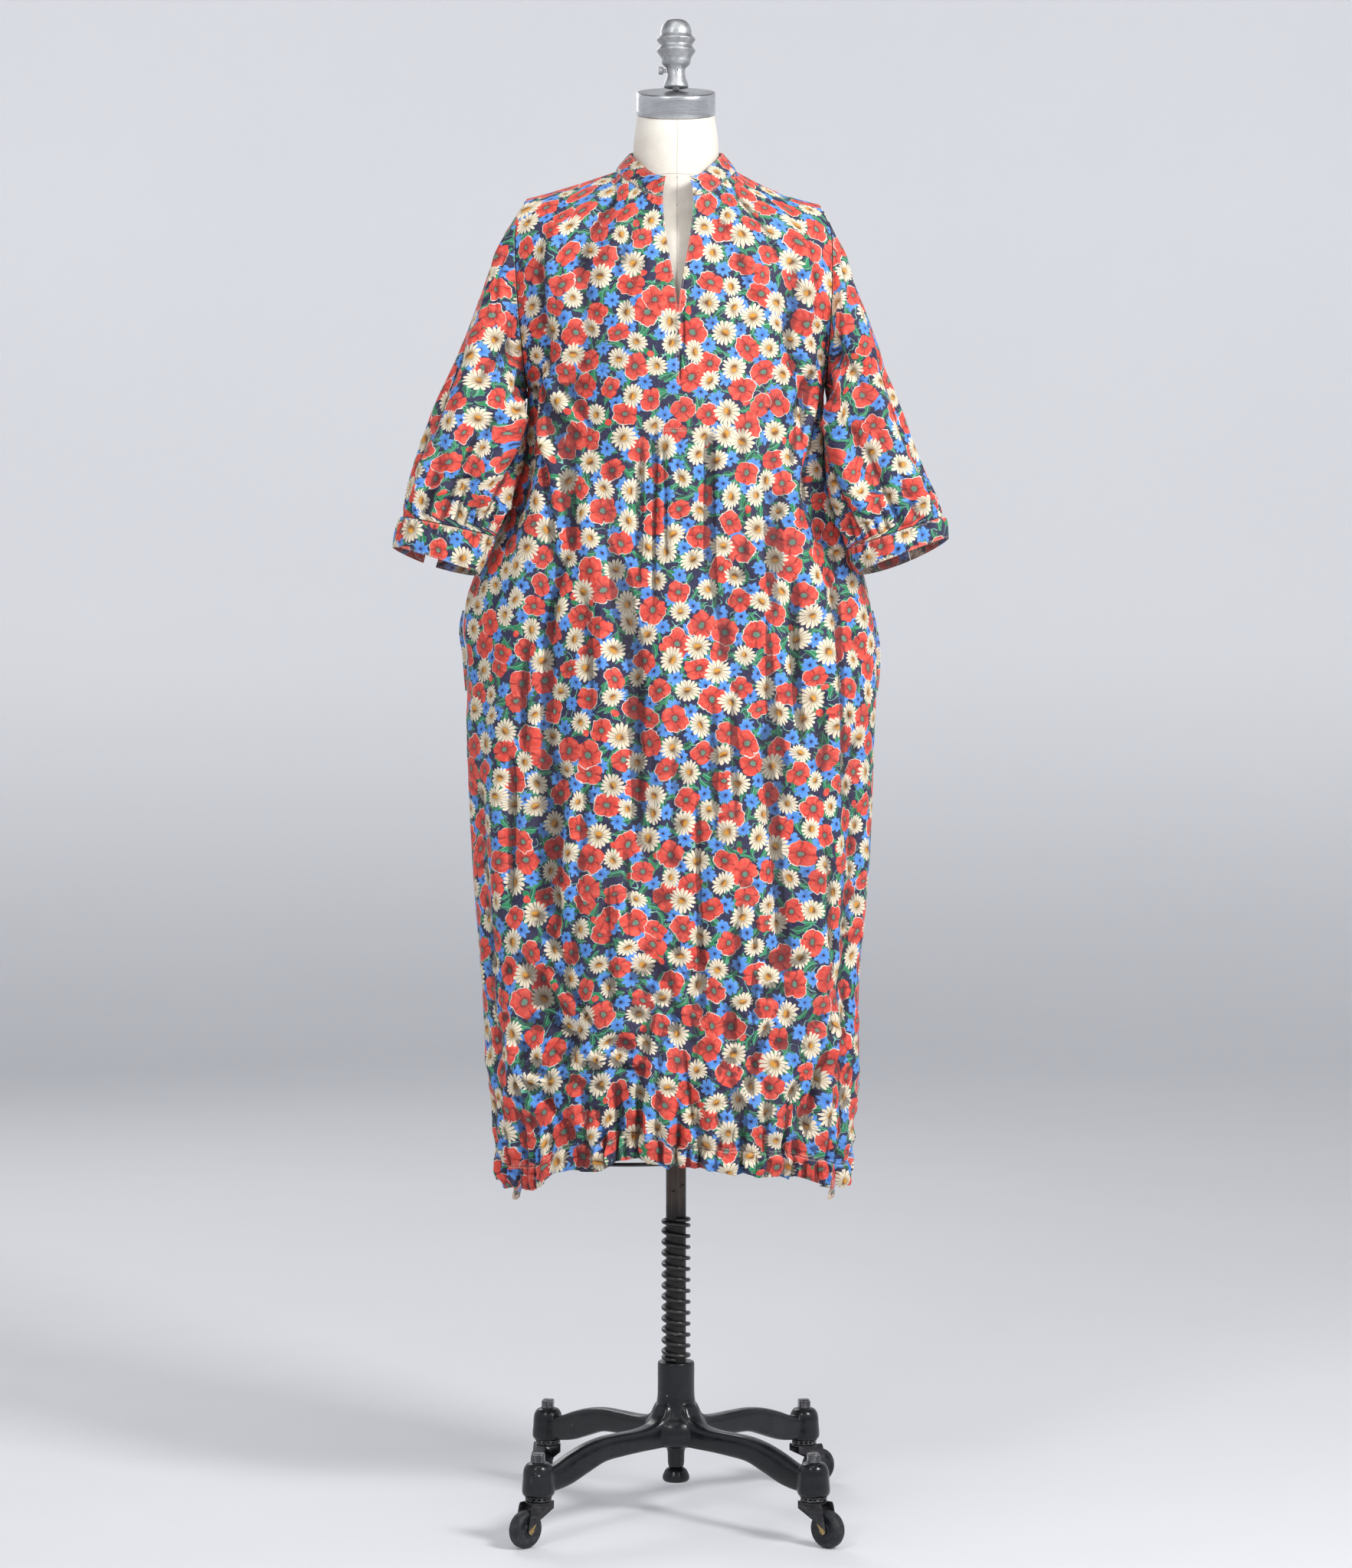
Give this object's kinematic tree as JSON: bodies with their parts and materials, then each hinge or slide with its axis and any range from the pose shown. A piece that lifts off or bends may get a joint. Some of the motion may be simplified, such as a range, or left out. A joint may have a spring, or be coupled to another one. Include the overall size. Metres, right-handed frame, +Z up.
{
  "type": "shirt dress on a dress form with caster stand",
  "caption": "Cocoon shirt dress with stand collar, slit neck, three-quarter sleeves and drawstring hem, worn by a limbless dress form on a sprung pole and a cast base with casters.",
  "frame": {"origin": "on the floor, under the axis of the pole", "axes": "+Z up, -Y the way the dress faces, +X to the right as the viewer sees the front"},
  "size_m": [0.6822, 0.4183, 1.8606],
  "materials": {
    "print_cloth": "woven cotton poplin with an all-over flower print",
    "canvas": "unbleached canvas cover, matt",
    "polished_steel": "plated, satin to bright",
    "cast_aluminium": "cast and tumbled, satin",
    "brown_steel": "browned, semi-gloss",
    "black_wire": "black, semi-gloss",
    "black_enamel": "black enamel, glossy, with small chips",
    "dark_steel": "pressed steel, dull",
    "hard_rubber": "hard rubber, semi-matt"
  },
  "bodies": {
    "base": {"base_casting": "black_enamel", "centre_foot": "black_enamel", "pole": "brown_steel", "spring": "black_wire", "bolt_front_left": "polished_steel", "bolt_front_right": "polished_steel", "bolt_rear_left": "polished_steel", "bolt_rear_right": "polished_steel"},
    "form": {"form_torso": "canvas", "neck_cap": "polished_steel", "finial": "cast_aluminium", "thumb_screw": "cast_aluminium", "form_tube": "polished_steel", "cage_hoop": "black_wire", "cage_wire_1": "black_wire", "cage_wire_2": "black_wire", "cage_wire_3": "black_wire", "cage_wire_4": "black_wire", "front": "print_cloth", "back": "print_cloth", "collar": "print_cloth", "sleeve_left": "print_cloth", "sleeve_right": "print_cloth", "cuff_left": "print_cloth", "cuff_right": "print_cloth", "casing_front": "print_cloth", "casing_back": "print_cloth", "pocket_left": "print_cloth", "pocket_right": "print_cloth", "tie_left": "print_cloth", "tie_right": "print_cloth"},
    "caster_front_left": {"race_front_left": "dark_steel", "fork_front_left": "dark_steel"},
    "wheel_front_left": {"wheel_front_left": "hard_rubber"},
    "caster_front_right": {"race_front_right": "dark_steel", "fork_front_right": "dark_steel"},
    "wheel_front_right": {"wheel_front_right": "hard_rubber"},
    "caster_rear_left": {"race_rear_left": "dark_steel", "fork_rear_left": "dark_steel"},
    "wheel_rear_left": {"wheel_rear_left": "hard_rubber"},
    "caster_rear_right": {"race_rear_right": "dark_steel", "fork_rear_right": "dark_steel"},
    "wheel_rear_right": {"wheel_rear_right": "hard_rubber"}
  },
  "joints": [
    {"name": "form_slide", "type": "slide", "parent": "base", "child": "form", "axis": [0, 0, 1], "range_m": [-0.12, 0.1]},
    {"name": "swivel_front_left", "type": "hinge", "parent": "base", "child": "caster_front_left", "pos_m": [-0.166, -0.17, 0.0575], "axis": [0, 0, 1], "continuous": true},
    {"name": "spin_front_left", "type": "hinge", "parent": "caster_front_left", "child": "wheel_front_left", "pos_m": [-0.18122, -0.18588, 0.02265], "axis": [0.722, -0.6919, 0], "continuous": true},
    {"name": "swivel_front_right", "type": "hinge", "parent": "base", "child": "caster_front_right", "pos_m": [0.166, -0.17, 0.0575], "axis": [0, 0, 1], "continuous": true},
    {"name": "spin_front_right", "type": "hinge", "parent": "caster_front_right", "child": "wheel_front_right", "pos_m": [0.18252, -0.18453, 0.02265], "axis": [0.6606, 0.7507, 0], "continuous": true},
    {"name": "swivel_rear_left", "type": "hinge", "parent": "base", "child": "caster_rear_left", "pos_m": [-0.166, 0.17, 0.0575], "axis": [0, 0, 1], "continuous": true},
    {"name": "spin_rear_left", "type": "hinge", "parent": "caster_rear_left", "child": "wheel_rear_left", "pos_m": [-0.17477, 0.19018, 0.02265], "axis": [-0.9171, -0.3987, 0], "continuous": true},
    {"name": "swivel_rear_right", "type": "hinge", "parent": "base", "child": "caster_rear_right", "pos_m": [0.166, 0.17, 0.0575], "axis": [0, 0, 1], "continuous": true},
    {"name": "spin_rear_right", "type": "hinge", "parent": "caster_rear_right", "child": "wheel_rear_right", "pos_m": [0.18467, 0.18164, 0.02265], "axis": [-0.5291, 0.8486, 0], "continuous": true}
  ]
}
